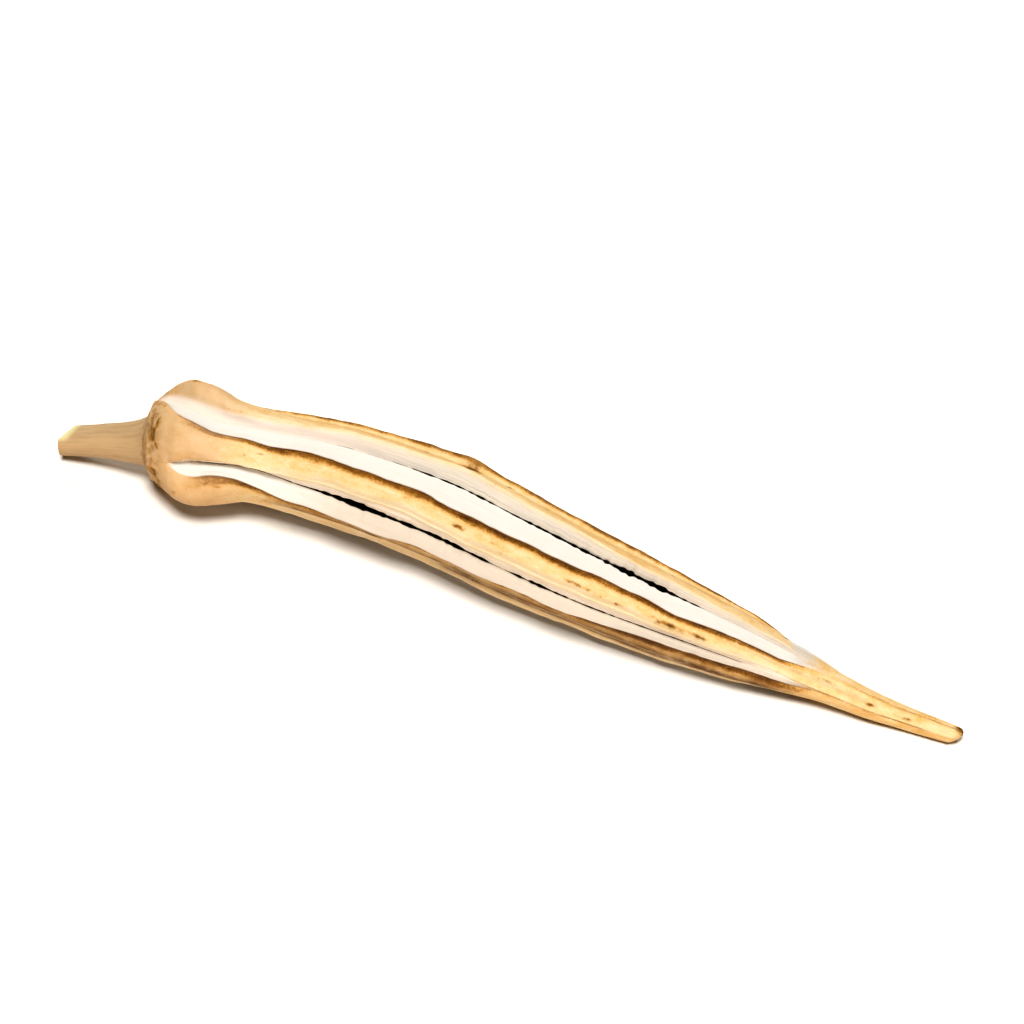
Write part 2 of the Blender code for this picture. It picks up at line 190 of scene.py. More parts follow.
# The knot on the upper far edge, and the torn notch near the beak: (x, length, height). From there the skin
# of one valve is torn off for a few millimetres: (first x, last x) of both ragged ends, and how they waver, as
# (mm along the pod, degrees round it).
KNOT = (-17.0, 4.0, 0.6)
TORN_NOTCH = (56.5, 1.6, -0.8)
KNOT_GROOVE = 2
TORN_VALVE = 1
TORN_START = (56.4, 57.4)
TORN_END = (60.0, 64.5)
TORN_WAVERS = [(2.5, 7.0), (1.2, 2.0)]

# The scar that the fallen sepals left: (x, length, height) of its ring and the bumps round it, and
# (x, length) of the brown, wrinkled collar beside it.
SCAR = (-80.9, 0.5, 0.45)
SCAR_BUMPS = 13
COLLAR = (-79.0, 2.1)

# Folds along a valve: (valve, first x, last x, place across it from -1 to 1, depth, width, darkness of the
# painted shade in its crease).
FOLDS = [
    (4, -58.0, 66.0, -0.12, 0.45, 0.6, 1.0), (4, -20.0, 62.0, -0.6, 0.25, 0.5, 1.0),
    (4, -44.0, 44.0, 0.45, 0.12, 0.35, 0.9),
    (0, 40.0, 80.0, 0.1, 0.08, 0.3, 0.3),
    (2, -50.0, 30.0, 0.3, 0.15, 0.4, 0.4), (3, -30.0, 52.0, -0.3, 0.2, 0.4, 0.5),
]
FOLD_FADE = 12.0
HALF_VALVE_DEGREES = 14.0

# The stalk's slanting cut and the beak's slanting, rounded end.
STALK_CUT_SLOPE = 1.0
STALK_CUT_FROM = 0.3
STALK_CUT_ANGLE = 128.0
STALK_CUT_LENGTH = 9.0
BEAK_END_SLOPE = 0.6
BEAK_END_LENGTH = 7.0
BEAK_END_ANGLE = 135.0
BEAK_ROUNDING = 1.6

# Slow waves along the edges: (wavelength, share of the radius, degrees). Quick ones: (length, mm, degrees).
EDGE_WAVES = [(47.0, 0.010, 1.2), (23.0, 0.008, 0.9), (12.5, 0.005, 0.5)]
WAVE_SEED = 11
WAVE_START = -74.0
WAVE_END = 66.0
WAVE_FADE = 24.0
EDGE_NICKS = [(5.0, 0.14, 0.9), (1.7, 0.07, 0.5)]

# Fine relief, in layers of (height, size across, size along): fibres on split faces, dents and wrinkles on
# the skin. Noise is read along the pod and across lanes: each valve has a lane, and each half of it a part.
FIBRES = [(0.045, 0.42, 17.0), (0.03, 0.2, 8.0), (0.10, 1.9, 9.0)]
DENTS = [(0.07, 1.3, 5.0), (0.025, 0.5, 2.0)]
WRINKLES = [(0.10, 1.5, 1.6)]
WRINKLES_FADE = (-72.0, -58.0)
STALK_TOP = (-84.0, -82.0)
VALVE_LANE = 40.0
HALF_LANE = 10.0
SKIN_LANE = 3.0
FACE_LANE = 6.0
FIBRE_SEED = 21
DENT_SEED = 24
WRINKLE_SEED = 26
MARK_SEED = 31
SCAR_SEED = 41
TORN_SEED = 45
FOLD_SEED = 51
GAP_SEED = 71

# How many points the mesh has: rings along the pod, and rows over half a valve, a split face and the inside.
RINGS = [(-101.2, -83.6, 34), (-83.4, -66.0, 80), (-65.7, 62.0, 400), (62.4, 91.8, 72), (92.0, 93.6, 9)]
SKIN_ROWS = 15
FACE_ROWS = 15
SKIN_CROWDING = 1.5
FACE_CROWDING = 1.15
INSIDE_ROWS = 4
SOFT_EDGE_PASSES = 14
CRISP_EDGE_PASSES = 2
SHARP_DEGREES = 60.0
# The rings that close an end: (share of the end's width, mm along the pod from the ring before).
STALK_LID = [(0.93, -0.12), (0.8, -0.1), (0.5, 0.05), (0.2, 0.1)]
BEAK_LID = [(0.6, 0.02)]
HOLLOW_LID = [(0.5, 0.0)]

# Brown spots, bruises and the knot on the skin: (x, angle, length, width, strength).
MARKS = [
    (-11.0, 43.0, 1.6, 0.6, 0.9), (15.5, 42.0, 3.2, 0.5, 0.7), (34.0, 41.0, 5.0, 0.7, 0.65),
    (41.0, 41.0, 2.0, 0.5, 0.5), (-3.0, 44.0, 0.9, 0.35, 0.6), (24.0, 40.0, 1.0, 0.3, 0.6),
    (-16.5, 137.0, 2.2, 2.0, 1.0), (-26.0, 138.5, 1.4, 0.4, 0.8), (-8.0, 140.0, 1.3, 0.4, 0.7),
    (1.0, 138.0, 1.0, 0.35, 0.6), (-72.5, 132.0, 1.2, 0.6, 0.9), (55.3, 133.0, 0.9, 0.6, 1.0),
    (-40.0, 139.0, 0.7, 0.3, 0.6), (14.0, 140.0, 0.8, 0.3, 0.6), (30.0, 139.0, 1.0, 0.3, 0.6),
    (-74.0, -7.0, 0.8, 0.4, 0.6), (-71.0, 4.0, 1.2, 0.3, 0.5), (-64.0, 7.0, 1.2, 0.4, 0.7),
    (-56.0, 52.0, 0.8, 0.3, 0.6), (-50.0, 57.0, 0.5, 0.25, 0.6), (-45.0, 55.0, 0.9, 0.35, 0.7),
    (-38.0, 56.0, 0.8, 0.3, 0.6), (-30.0, 55.0, 1.0, 0.4, 0.7), (-24.0, 50.0, 0.5, 0.3, 0.6),
    (75.5, 52.0, 1.1, 0.4, 0.9), (83.0, 48.0, 1.0, 0.4, 0.8), (66.0, 64.0, 2.4, 0.4, 0.5),
    (-20.0, 200.0, 2.0, 0.8, 0.8), (25.0, 205.0, 2.8, 0.6, 0.7), (-48.0, 197.0, 1.6, 0.7, 0.7),
    (92.8, 120.0, 1.3, 1.5, 1.0), (10.0, 272.0, 3.0, 0.8, 0.6), (-35.0, 345.0, 1.6, 0.5, 0.6),
    (5.0, 340.0, 2.2, 0.5, 0.6),
]

# The camera: its height and turn round the pod in degrees, its distance, the pixels to a millimetre there
# in a picture PICTURE pixels wide, and the point on the middle of the picture.
VIEW_UP = 48.0
VIEW_ROUND = 27.0
VIEW_DISTANCE = 750.0
PIXELS_PER_MM = 5.04
PICTURE = 1024
SENSOR = 36.0
VIEW_TARGET = (-4.5, 4.0, 15.7)

NOISE_SIZE = 256


def smooth(points, x):
    """The value at x of a smooth curve through (x, value) points, with no overshoot between them."""
    at, value = np.array(points, float).T
    step = np.diff(at)
    slope = np.diff(value) / step
    before, after = slope[:-1], slope[1:]
    same_way = before * after > 0
    tangent = np.concatenate([slope[:1], np.zeros(len(at) - 2), slope[-1:]])
    tangent[1:-1][same_way] = 2 * before[same_way] * after[same_way] / (before + after)[same_way]
    i = np.clip(np.searchsorted(at, x, side="right") - 1, 0, len(at) - 2)
    t = np.clip((x - at[i]) / step[i], 0, 1)
    return (
        value[i] * (1 + 2 * t) * (1 - t) ** 2
        + value[i + 1] * t**2 * (3 - 2 * t)
        + step[i] * (tangent[i] * t * (1 - t) ** 2 - tangent[i + 1] * t**2 * (1 - t))
    )


def rise(x, start, length):
    """0 before start and 1 after start + length, with the blunt, rounded rise of a quarter circle."""
    t = np.clip((x - start) / length, 0, 1)
    return np.sqrt(1 - (1 - t) ** 2)


def ease(x, start, end):
    """0 at start and 1 at end, levelling off at both."""
    t = np.clip((x - start) / (end - start), 0, 1)
    return t * t * (3 - 2 * t)


def hump(x, middle, length):
    return np.exp(-(((x - middle) / length) ** 2))


def noise(u, v, seed):
    """Smooth random values from -1 to 1 that change over about one unit of u and of v."""
    table = np.random.default_rng(seed).uniform(-1, 1, (NOISE_SIZE, NOISE_SIZE))
    u, v = np.broadcast_arrays(u, v)
    i, j = np.floor(u).astype(int), np.floor(v).astype(int)
    s, t = ease(u - i, 0, 1), ease(v - j, 0, 1)

    def corner(a, b):
        return table[(i + a) % NOISE_SIZE, (j + b) % NOISE_SIZE]

    near = corner(0, 0) * (1 - s) + corner(1, 0) * s
    far = corner(0, 1) * (1 - s) + corner(1, 1) * s
    return near * (1 - t) + far * t


def layered(across, along, layers, seed):
    """Layers of noise, each (height, size across, size along), added up."""
    return sum(
        height * noise(across / wide, along / long, seed + k) for k, (height, wide, long) in enumerate(layers)
    )


def spine(x):
    """The middle line at x."""
    y = smooth([(p[0], p[1]) for p in SPINE], x)
    z = smooth([(p[0], p[2]) for p in SPINE], x)
    return np.stack([x, y, z], axis=-1)


def spine_frame(x):
    """The body's direction at x, and the directions at 0 and 90 degrees round it.

    The stalk and the shoulder take theirs from where the body begins, so that the shoulder stands square."""
    x = np.maximum(x, SHOULDER_X)
    ahead = spine(x + 1.5) - spine(x - 1.5)
    ahead /= np.linalg.norm(ahead, axis=-1, keepdims=True)
    side = np.cross(ahead, [0.0, 0.0, 1.0])
    side /= np.linalg.norm(side, axis=-1, keepdims=True)
    return ahead, side, np.cross(side, ahead)


def edge_wave(x, groove, way):
    """(share of the radius, degrees) by which the edge on that side of a groove wanders at x."""
    rng = np.random.default_rng(WAVE_SEED + 2 * groove + (way > 0))
    fade = rise(x, WAVE_START, WAVE_FADE) * rise(-x, -WAVE_END, WAVE_FADE)
    radius, angle = np.zeros_like(x), np.zeros_like(x)
    for wavelength, share, degrees in EDGE_WAVES:
        phase = rng.uniform(0, 2 * np.pi, 2)
        radius += share * np.sin(2 * np.pi * x / wavelength + phase[0])
        angle += degrees * np.sin(2 * np.pi * x / wavelength + phase[1])
    return radius * fade, angle * fade


def slit_angle(x, groove):
    return smooth(GROOVES[groove]["line"], x)


def edge(x, groove, way):
    """(radius, angle) of the split edge above (way 1) or below (way -1) a groove's slit."""
    facts = GROOVES[groove]
    reach = smooth(facts["up"] if way > 0 else facts["down"], x)
    started = rise(x, *facts["start"])
    opening = (GROOVE_START_WIDTH + (1 - GROOVE_START_WIDTH) * started) * smooth(GROOVE_WIDTH, x)
    share, degrees = edge_wave(x, groove, way)
    radius = smooth(EDGE_RADIUS, x) * (1 + share)
    if groove == KNOT_GROOVE and way < 0:
        for middle, length, height in (KNOT, TORN_NOTCH):
            radius = radius + height * hump(x, middle, length)
    for k, (length, height, turn) in enumerate(EDGE_NICKS):
        seed = WAVE_SEED * (k + 3)
        row = 2 * groove + (way > 0) + 0.5
        radius = radius + height * started * noise(x / length, row * 7.0, seed)
        degrees = degrees + turn * started * noise(x / length, row * 7.0 + 3.0, seed)
    return radius, slit_angle(x, groove) + way * reach * opening + degrees * opening


def slit_gap(x, groove):
    """How far a groove's two lips stand apart at x: 0 where the slit is closed."""
    gap = smooth(GROOVES[groove]["gap"], x)
    waver = 0.0
    for k, (share, length) in enumerate(GAP_WAVERS):
        waver = waver + share * noise(x / length, 5.5 * groove + 0.5 + 2 * k, GAP_SEED + k)
    gap = gap * (1 + waver)
    return np.where(gap > OPEN_GAP, gap, 0)


def middle_radius(x, valve):
    depth = smooth(CHANNEL_DEPTH, x)
    return smooth(EDGE_RADIUS, x) - np.where(depth < 0, depth * BULGES[valve], depth)


def lip_radius(x, groove):
    depth = smooth(GROOVE_DEPTH, x) * rise(x, *GROOVES[groove]["start"])
    if groove == SMOOTH_GROOVE:
        depth = depth * (1 - ease(x, *SMOOTH_FROM))
    return smooth(EDGE_RADIUS, x) * (1 - depth)


def cavity_radius(x, outer, wall):
    """The hollow's radius at x under a surface of radius outer, closing to a point at both ends."""
    first, last = CAVITY
    open_share = rise(x, first - 0.01, CAVITY_END_LENGTH) * rise(-x, -last - 0.01, CAVITY_END_LENGTH)
    return CAVITY_END_RADIUS + (outer - wall - CAVITY_END_RADIUS) * open_share


def end_shift(x, radius, angle):
    """How far along the pod a point moves for the slanting stalk cut, shoulder and beak end."""
    shoulder = radius * np.cos(np.radians(angle)) * smooth(SHOULDER_SLANT, x)
    above_cut = np.maximum(radius * np.cos(np.radians(angle - STALK_CUT_ANGLE)) - STALK_CUT_FROM, 0)
    stalk = STALK_CUT_SLOPE * above_cut * np.clip(1 - (x - STALK_END) / STALK_CUT_LENGTH, 0, 1)
    height = radius * np.cos(np.radians(angle - BEAK_END_ANGLE))
    beak = BEAK_END_SLOPE * height * np.clip(1 - (BEAK_END - x) / BEAK_END_LENGTH, 0, 1) ** 2
    return shoulder + stalk + beak


def placed(x, radius, angle):
    """The points at these radii and angles (stations by rows) round the middle line."""
    ahead, side, up = (d[:, None, :] for d in spine_frame(x))
    turn = np.radians(angle)[..., None]
    away = radius[..., None] * (np.cos(turn) * side + np.sin(turn) * up)
    return spine(x)[:, None, :] + away + end_shift(x[:, None], radius, angle)[..., None] * ahead


def half_valve(x, valve, way):
    """One half of a valve's outside, from its middle over its edge to its lip.

    Returns radii, angles, how far each row is across the skin and across the split face, and the groove."""
    above = (valve + 1) % VALVES
    turn = 360.0 if above < valve else 0.0
    low_radius, low_angle = edge(x, valve, 1)
    high_radius, high_angle = edge(x, above, -1)
    middle_angle = (low_angle + high_angle + turn) / 2
    half_angle = (high_angle + turn - low_angle) / 2
    groove, edge_radius = (valve, low_radius) if way < 0 else (above, high_radius)
    middle = middle_radius(x, valve)
    power = smooth(CHANNEL_TURN, x)
    lean_most = EDGE_LEANS[way] * (ease(x, *LEAN_BEGIN) * (1 - ease(x, *LEAN_END)))
    t = 1 - (1 - np.linspace(0, 1, SKIN_ROWS)) ** SKIN_CROWDING
    lean = lean_most[:, None] * t * np.sin(np.pi * t)
    radius = middle[:, None] + (edge_radius - middle)[:, None] * t ** power[:, None]
    angle = middle_angle[:, None] + way * half_angle[:, None] * (t + lean)
    w = np.linspace(0, 1, FACE_ROWS + 1)[1:] ** FACE_CROWDING
    lip = np.radians(slit_angle(x, groove) + (turn if way > 0 else 0.0))[:, None]
    aside = (-way * slit_gap(x, groove) / 2)[:, None]
    edge_at = np.radians(angle[:, -1:])
    first_open = GROOVES[groove]["gap"][0][0]
    roundness = 2 - ease(x - first_open, *FACE_SQUARE)[:, None]
    share = (1 - w) ** roundness
    u = share * edge_radius[:, None] * np.cos(edge_at - lip) + (1 - share) * lip_radius(x, groove)[:, None]
    v = (1 - w) * edge_radius[:, None] * np.sin(edge_at - lip) + w * aside
    radius = np.concatenate([radius, np.hypot(u, v)], axis=1)
    angle = np.concatenate([angle, np.degrees(lip + np.arctan2(v, u))], axis=1)
    across_skin = np.concatenate([t, np.full_like(w, 1.0)])
    across_face = np.concatenate([np.zeros_like(t), w])
    return radius, angle, across_skin, across_face, groove


def softened(points, row, passes):
    """Rounds the outline over an edge at that row."""
    reach = 2 + passes // 2
    band = slice(row - reach, row + reach + 1)
    for _ in range(passes):
        part = points[:, band]
        part[:, 1:-1] = 0.5 * part[:, 1:-1] + 0.25 * (part[:, 2:] + part[:, :-2])
        points[:, band] = part


def folds(x, across, valve):
    """(depth, painted crease shade) of the folds along a valve; across is -1 at its lower edge and 1 at
    its upper one.
    """
    depth, dark = np.zeros(across.shape), np.zeros(across.shape)
    half_width = smooth(EDGE_RADIUS, x)[:, None] * np.radians(HALF_VALVE_DEGREES)
    for owner, first, last, place, deep, width, darkness in FOLDS:
        if owner == valve:
            wander = place + 0.10 * noise(x / 15.0, 3.5 * valve + place, FOLD_SEED)[:, None]
            there = (ease(x, first, first + FOLD_FADE) * (1 - ease(x, last - FOLD_FADE, last)))[:, None]
            shape = there * np.exp(-(((across - wander) * half_width / width) ** 2))
            depth += deep * shape
            dark += darkness * shape * (0.75 + 0.25 * noise(x / 3.0, place, FOLD_SEED + 1)[:, None])
    return depth, dark


def relief(x, across_skin, across_face, valve, groove, way):
    """How far the surface stands out or in for fibres, dents and wrinkles, in millimetres."""
    lane = VALVE_LANE * valve + HALF_LANE * (way > 0)
    face_lane = lane + FACE_LANE * across_face
    skin_lane = lane + way * SKIN_LANE * across_skin
    station = x[:, None]
    shoulder = 1 - ease(station, *WRINKLES_FADE)
    stalk = 1 - ease(station, *STALK_TOP)
    fibres = layered(face_lane, station, FIBRES, FIBRE_SEED)
    wrinkles = layered(skin_lane, station, WRINKLES, WRINKLE_SEED)
    skin = layered(skin_lane, station, DENTS, DENT_SEED) + shoulder * (1 - stalk) * wrinkles
    on_face = ease(across_face, 0.0, 0.12)[None, :] * ease(station, GROOVES[groove]["start"][0], -70.0)
    fade = 1 - ease(across_face, 0.85, 1.0)[None, :]
    return (skin * (1 - on_face) * (1 - 0.7 * stalk) + fibres * on_face) * fade


def marks(points, x, angle):
    """How brown the skin is at each point from the marks: 0 to 1."""
    total = np.zeros(angle.shape)
    radius = smooth(EDGE_RADIUS, x)[:, None]
    for at, turn, length, width, strength in MARKS:
        round_mm = np.radians((angle - turn + 180) % 360 - 180) * radius
        wobble = 0.5 * noise(points[..., 0] / 0.8, angle / 5.0, MARK_SEED)
        total += strength * np.exp(-(((x[:, None] - at) / length) ** 2) - (round_mm / width) ** 2 + wobble)
    return np.clip(total, 0, 1)


def stain_and_painted_shade(x, across, valve, groove, way):
    """How dark the skin is, from 0 for pale to 1: brown stain and painted shade darken it under a valve's
    upper edge, and painted light makes it paler towards its lower edge.
    """
    begun = GROOVES[groove]["start"][0]
    there = (ease(x - begun, *STAIN_AND_SHADE_BEGIN) * (1 - STAIN_AND_SHADE_FADED * ease(x, *STAIN_AND_SHADE_FADE)))[:, None]
    # Lower half: painted light, paler towards the valve's lower edge.
    if way < 0:
        return BASE_SHADES[valve] - PALE_EDGE * there * ease(across, PALE_EDGE_START, 1.0)
    # Upper half: brown stain and painted shade under the valve's upper edge.
    shoulder = 1 - ease(x, *SHOULDER_STAIN_AND_SHADE_FADE)
    start = (STAIN_AND_SHADE_STARTS[valve] + (SHOULDER_STAIN_AND_SHADE_START - STAIN_AND_SHADE_STARTS[valve]) * shoulder)[:, None]
    band = ease((across - start) / (1 - start), 0.0, STAIN_AND_SHADE_REACH)
    line = ease(across, STAIN_AND_SHADE_LINE_START, 1.0)
    return BASE_SHADES[valve] + STAINS_AND_SHADE[valve] * there * (STAIN_AND_SHADE_BAND * band + STAIN_AND_SHADE_LINE * line)


def torn_share(x, angle):
    """How much of the torn strip shows at each point: 0 to 1, with ragged ends."""
    at = x[:, None]
    for k, (reach, degrees) in enumerate(TORN_WAVERS):
        at = at + reach * noise(angle / degrees, 0.5, TORN_SEED + k)
    return ease(at, *TORN_START) * (1 - ease(at, *TORN_END))


def scar_relief(x, angle):
    """How far the scar's bumpy ring stands out, in millimetres."""
    middle, length, height = SCAR
    bumps = 0.5 + 0.25 * np.cos(np.radians(SCAR_BUMPS * angle) + 2.4 * noise(angle / 40.0, 0.5, SCAR_SEED))
    bumps = bumps + 0.6 * noise(angle / 17.0, x[:, None] / 0.8, SCAR_SEED + 1)
    return height * hump(x, middle, length)[:, None] * np.clip(bumps, 0, 1.4)


def collar_marks(x, angle):
    """How brown the collar is at each point: 0 to 1, in patches."""
    patches = np.clip(2.6 * noise(angle / 13.0, x[:, None], SCAR_SEED + 2) - 0.2, 0, 1)
    return patches * hump(x, *COLLAR)[:, None]


def normals(points):
    """The direction out of a grid of points at each of them."""
    along, across = np.gradient(points, axis=0), np.gradient(points, axis=1)
    normal = np.cross(across, along)
    return normal / np.linalg.norm(normal, axis=-1, keepdims=True)


def valve_outside(x, valve):
    """A valve's outside from lower lip to upper lip: points, and the values that the material reads."""
    halves = []
    for way in (-1, 1):
        radius, angle, skin, face, groove = half_valve(x, valve, way)
        opened = ease(x - GROOVES[groove]["start"][0], *SPLIT_BEGIN) * (1 - ease(x, *SPLIT_FADE))
        split = ease(face, 0.0, FACE_CHANGE[way])[None, :] * opened[:, None]
        if valve == TORN_VALVE:
            split = np.maximum(split, torn_share(x, angle))
        stand = relief(x, skin, face, valve, groove, way)
        # The skin's darkness: its own tone, stain and painted shade under the upper edge, painted light below.
        shade = stain_and_painted_shade(x, skin[None, :], valve, groove, way)
        across = [np.tile(skin, (len(x), 1)), np.tile(face, (len(x), 1))]
        halves.append([radius, angle, *across, stand, split, shade])
    joined = [np.concatenate([low[:, :0:-1], high], axis=1) for low, high in zip(*halves)]
    radius, angle, skin, face, stand, split, shade = joined
    radius = radius + scar_relief(x, angle)
    rows = np.arange(radius.shape[1])
    way = np.where(rows < FACE_ROWS + SKIN_ROWS - 1, -1.0, 1.0)[None, :]
    fold_depth, fold_painted_shade = folds(x, way * (skin + 3 * face), valve)
    points = placed(x, radius, angle)
    softened(points, FACE_ROWS, SOFT_EDGE_PASSES)
    softened(points, points.shape[1] - 1 - FACE_ROWS, CRISP_EDGE_PASSES)
    points = points + (stand - fold_depth)[..., None] * normals(points)
    mark = marks(points, x, angle) * (1 - 0.8 * split) + 0.8 * collar_marks(x, angle)
    lane = VALVE_LANE * valve + way * (SKIN_LANE * skin + FACE_LANE * face)
    cut_height = radius * np.cos(np.radians(angle - STALK_CUT_ANGLE))
    return points, {
        "flow": np.stack([np.broadcast_to(x[:, None], skin.shape), lane, radius], axis=-1),
        "split": split,
        "above": np.broadcast_to(np.clip(way, 0, 1), skin.shape),
        "shade": shade,
        "mark": np.clip(mark, 0, 1),
        # Painted shade along the folds' creases.
        "fold_shade": np.clip(fold_painted_shade, 0, 1) * (1 - split),
        "cut": 0.8 * ease(-x, 98.6, 100.6)[:, None] * ease(cut_height, -0.4, 0.9),
    }


def valve_inside(x, valve):
    """The hollow's wall behind a valve, from its lower lip to its upper lip."""
    above = (valve + 1) % VALVES
    turn = 360.0 if above < valve else 0.0
    low, high = slit_angle(x, valve), slit_angle(x, above) + turn
    outer = np.minimum(middle_radius(x, valve), smooth(EDGE_RADIUS, x))
    behind_middle = cavity_radius(x, outer, WALL)[:, None]
    t = np.linspace(0, 1, INSIDE_ROWS)
    halves = []
    for way, groove in ((-1, valve), (1, above)):
        behind_lip = cavity_radius(x, lip_radius(x, groove), LIP_WALL)
        aside = np.degrees(slit_gap(x, groove) / 2 / behind_lip)
        radius = behind_middle + (behind_lip[:, None] - behind_middle) * t**2
        angle = ((low + high) / 2)[:, None] + way * t * ((high - low) / 2 - aside)[:, None]
        halves.append((radius, angle))
    radius, angle = (np.concatenate([low[:, :0:-1], high], axis=1) for low, high in zip(*halves))
    return placed(x, radius, angle)


def plain_values(points, **values):
    """The values that the material reads, for points on which they are the same everywhere."""
    given = {"flow": points * 1.0}
    for name in ("split", "above", "shade", "mark", "fold_shade", "inner", "cut"):
        given[name] = np.full(points.shape[:-1], values.get(name, 0.0))
    return given


def quads(index, turned=False):
    """The faces between neighbouring points of a grid of point numbers."""
    corners = [index[:-1, :-1], index[:-1, 1:], index[1:, 1:], index[1:, :-1]]
    return np.stack(corners[::-1] if turned else corners, axis=-1).reshape(-1, 4)


class PodMesh:
    """Gathers points, faces and the values that the material reads, and makes one mesh of them."""

    def __init__(self):
        self.points, self.faces, self.values, self.count = [], [], {}, 0

    def grid(self, points, values):
        """Adds a grid of points and returns their numbers."""
        index = np.arange(self.count, self.count + points[..., 0].size).reshape(points.shape[:-1])
        self.count += index.size
        self.points.append(points.reshape(-1, 3))
        for name, value in values.items():
            size = (-1, 3) if name == "flow" else (-1,)
            self.values.setdefault(name, []).append(value.reshape(size))
        return index

    def add(self, faces):
        self.faces.extend(map(tuple, faces.tolist()))

    def lid(self, ring, way, steps, **values):
        """Closes a ring that faces the beak (way 1) or the stalk (-1) with narrower rings and a last face."""
        outer = np.concatenate(self.points)[ring]
        middle = outer.mean(axis=0)
        last = ring
        for share, along in steps:
            points = middle + (outer - middle) * share
            points[:, 0] += along
            index = self.grid(points, plain_values(points, **values))
            self.add(quads(np.stack([np.append(last, last[0]), np.append(index, index[0])]), turned=way > 0))
            last = index
        self.faces.append(tuple(last.tolist()) if way > 0 else tuple(last[::-1].tolist()))

    def mesh(self, name, shift):
        points = np.concatenate(self.points) + shift
        points[:, 2] = np.maximum(points[:, 2], 0.0)
        used = np.unique(np.concatenate([np.array(f) for f in self.faces]))
        number = np.full(len(points), -1)
        number[used] = np.arange(len(used))
        mesh = bpy.data.meshes.new(name)
        faces = [[int(i) for i in number[list(f)]] for f in self.faces]
        mesh.from_pydata((points[used] * MM).tolist(), [], faces)
        for key, value in self.values.items():
            value = np.concatenate(value)[used].astype(np.float32)
            kind, field = ("FLOAT_VECTOR", "vector") if key == "flow" else ("FLOAT", "value")
            mesh.attributes.new(key, kind, "POINT").data.foreach_set(field, value.ravel())
        mesh.validate()
        mesh.shade_smooth()
        mesh.set_sharp_from_angle(angle=np.radians(SHARP_DEGREES))
        return mesh


def share_closed_lips(grids, x):
    """Gives both lips of each slit the same points where the slit is closed."""
    for groove in range(VALVES):
        shut = slit_gap(x, groove) == 0
        grids[groove - 1][shut, -1] = grids[groove][shut, 0]


def add_slit_walls(pod, outer, inner, x, inside):
    """Joins the outside to the hollow along each open slit, painted black as shadow from just inside its lips.
    """
    for groove in range(VALVES):
        gap = slit_gap(x[inside], groove)
        is_open = (gap[:-1] > 0) | (gap[1:] > 0)
        lips = ((groove - 1, -1), (groove, 0))
        dark = {}
        for valve, lip in lips:
            placed_so_far = np.concatenate(pod.points)
            out, back = outer[valve][inside, lip], inner[valve][:, lip]
            points = placed_so_far[out] * (1 - DARK_LIP) + placed_so_far[back] * DARK_LIP
            dark[lip] = pod.grid(points, plain_values(points, inner=1.0))
        dark[-1][gap == 0] = dark[0][gap == 0]
        for valve, lip in lips:
            rows = [outer[valve][inside, lip], dark[lip], inner[valve][:, lip]]
            for near, far in zip(rows[:-1], rows[1:]):
                pod.add(quads(np.stack([near, far], axis=1), turned=lip == 0)[is_open])


def build_pod():
    """The pod's mesh in the CAD part's place, and how far that place is from the one that SPINE gives."""
    x = np.concatenate([np.linspace(*part) for part in RINGS])
    inside = np.flatnonzero((x > CAVITY[0]) & (x < CAVITY[1]))
    narrowing = np.clip((x - (BEAK_END - BEAK_ROUNDING)) / BEAK_ROUNDING, 0, 0.97)
    middle = spine(x)[:, None, :]
    pod = PodMesh()
    outer, inner = [], []
    for valve in range(VALVES):
        points, values = valve_outside(x, valve)
        points = middle + (points - middle) * np.sqrt(1 - narrowing**2)[:, None, None]
        outer.append(pod.grid(points, {**plain_values(points), **values}))
    for valve in range(VALVES):
        points = valve_inside(x[inside], valve)
        inner.append(pod.grid(points, plain_values(points, inner=1.0)))
    share_closed_lips(outer, x)
    share_closed_lips(inner, x[inside])
    for outside, hollow in zip(outer, inner):
        pod.add(quads(outside))
        pod.add(quads(hollow, turned=True))
    add_slit_walls(pod, outer, inner, x, inside)
    pod.lid(ring_of(outer, 0), -1, STALK_LID, cut=1.0)
    pod.lid(ring_of(outer, -1), 1, BEAK_LID, mark=0.6)
    # The hollow's ends, painted black as shadow like the rest of the inside.
    pod.lid(ring_of(inner, 0), 1, HOLLOW_LID, inner=1.0)
    pod.lid(ring_of(inner, -1), -1, HOLLOW_LID, inner=1.0)
    low, high = (np.array(corner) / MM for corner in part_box(NODE))
    raw = np.concatenate(pod.points)
    shift = (low + high) / 2 - (raw.min(axis=0) + raw.max(axis=0)) / 2
    shift[2] = -SINK
    return pod.mesh("okra_pod_husk", shift), shift


def ring_of(grids, station):
    """The point numbers round the pod at one station, each once."""
    ring = np.concatenate([grid[station, :] for grid in grids])
    return ring[ring != np.roll(ring, 1)]


